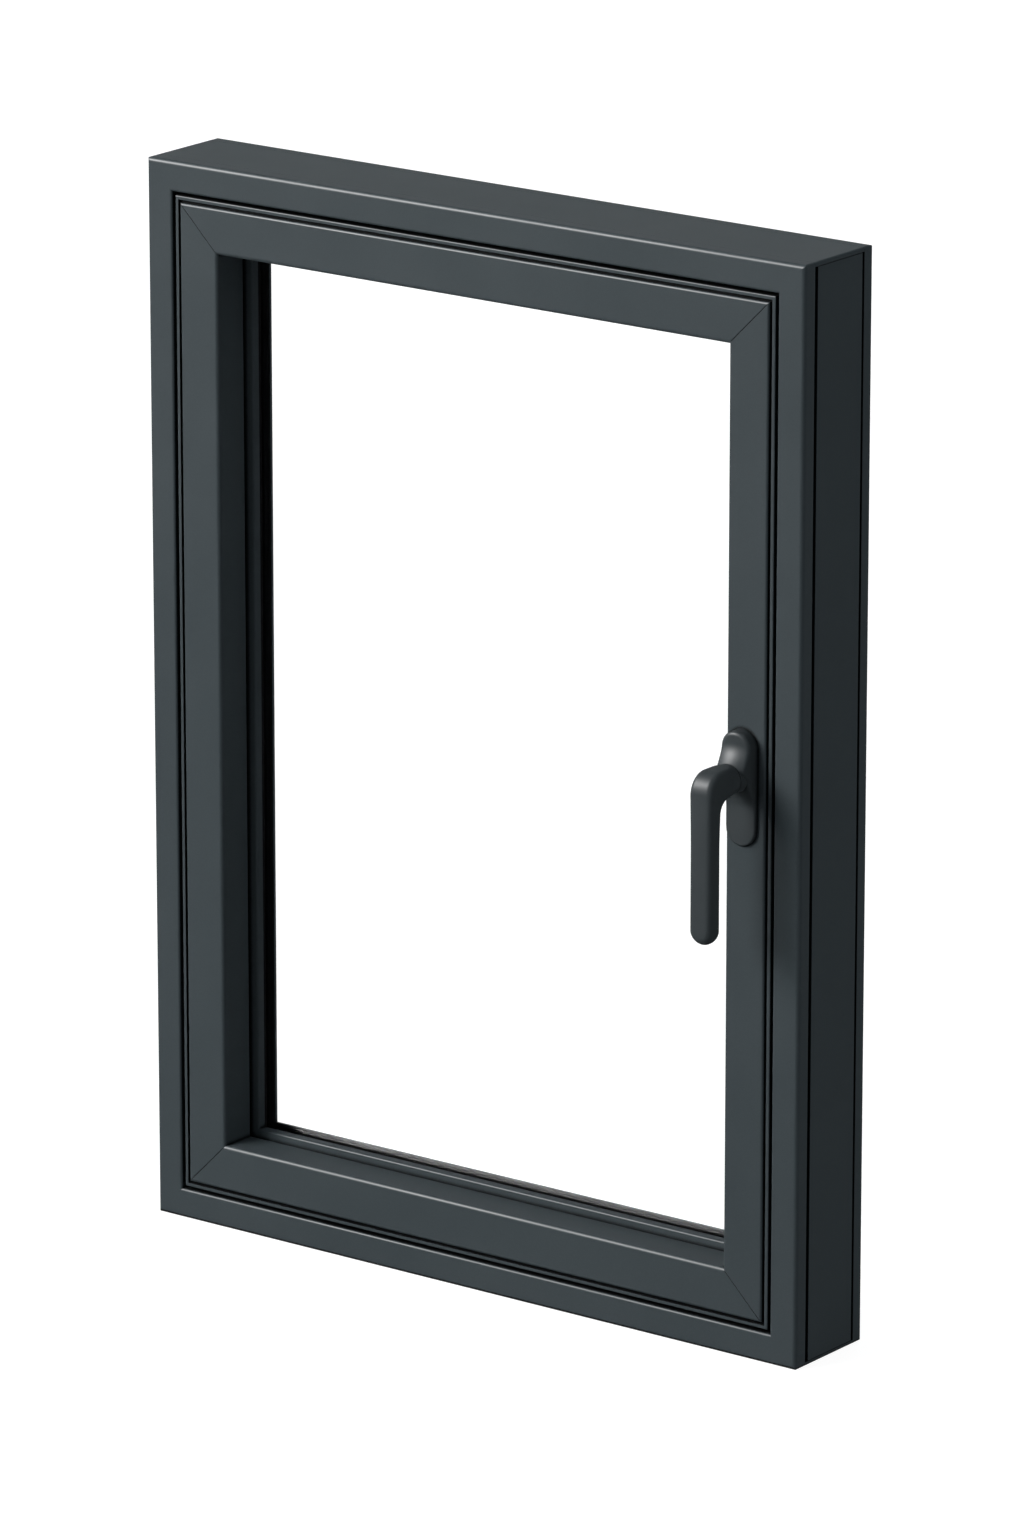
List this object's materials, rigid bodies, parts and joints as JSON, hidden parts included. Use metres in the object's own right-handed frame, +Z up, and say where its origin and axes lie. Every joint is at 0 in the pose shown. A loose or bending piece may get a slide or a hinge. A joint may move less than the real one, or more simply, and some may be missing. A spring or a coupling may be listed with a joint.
{
  "type": "aluminium window",
  "caption": "Rectangular inward-opening aluminium window, shut, with a thermally broken frame and sash, double glazing and a lever handle.",
  "frame": {"origin": "middle of the sill's flat underside, at half the frame's depth", "axes": "+Z up, +X to the right as seen from the room, +Y from the room to the outside; the room face and the handle look to -Y"},
  "size_m": [0.578, 0.1365, 0.8],
  "materials": {
    "frame_coating": "satin",
    "sash_coating": "satin",
    "handle_coating": "satin",
    "spindle_steel": "satin",
    "float_glass": "gloss",
    "gasket_rubber": "matte",
    "edge_sealant": "matte",
    "spacer_bar": "matte",
    "polyamide": "matte",
    "setting_block": "matte",
    "drain_cap": "matte"
  },
  "bodies": {
    "window": {"frame_inner_sill": "frame_coating", "frame_outer_sill": "frame_coating", "cover_strip_sill": "frame_coating", "sash_inner_bottom": "sash_coating", "sash_outer_bottom": "sash_coating", "glazing_bead_bottom": "sash_coating", "frame_inner_jamb_left": "frame_coating", "frame_outer_jamb_left": "frame_coating", "cover_strip_jamb_left": "frame_coating", "sash_inner_left": "sash_coating", "sash_outer_left": "sash_coating", "glazing_bead_left": "sash_coating", "frame_inner_head": "frame_coating", "frame_outer_head": "frame_coating", "cover_strip_head": "frame_coating", "sash_inner_top": "sash_coating", "sash_outer_top": "sash_coating", "glazing_bead_top": "sash_coating", "frame_inner_jamb_right": "frame_coating", "frame_outer_jamb_right": "frame_coating", "cover_strip_jamb_right": "frame_coating", "sash_inner_right": "sash_coating", "sash_outer_right": "sash_coating", "glazing_bead_right": "sash_coating", "frame_thermal_strips": "polyamide", "sash_thermal_strips": "polyamide", "pane_inner": "float_glass", "pane_outer": "float_glass", "glass_edge_seal": "edge_sealant", "glass_spacer": "spacer_bar", "glazing_gasket_inner": "gasket_rubber", "glazing_gasket_outer": "gasket_rubber", "stop_gasket": "gasket_rubber", "centre_gasket": "gasket_rubber", "weather_gasket": "gasket_rubber", "setting_blocks": "setting_block", "drain_caps": "drain_cap", "handle_rosette": "handle_coating"},
    "handle": {"handle_lever": "handle_coating", "handle_spindle": "spindle_steel"}
  },
  "joints": [
    {"name": "handle_turn", "type": "hinge", "parent": "window", "child": "handle", "pos_m": [0.2399, -0.041, 0.431], "axis": [0, 1, 0], "range_deg": [0, 180]}
  ]
}
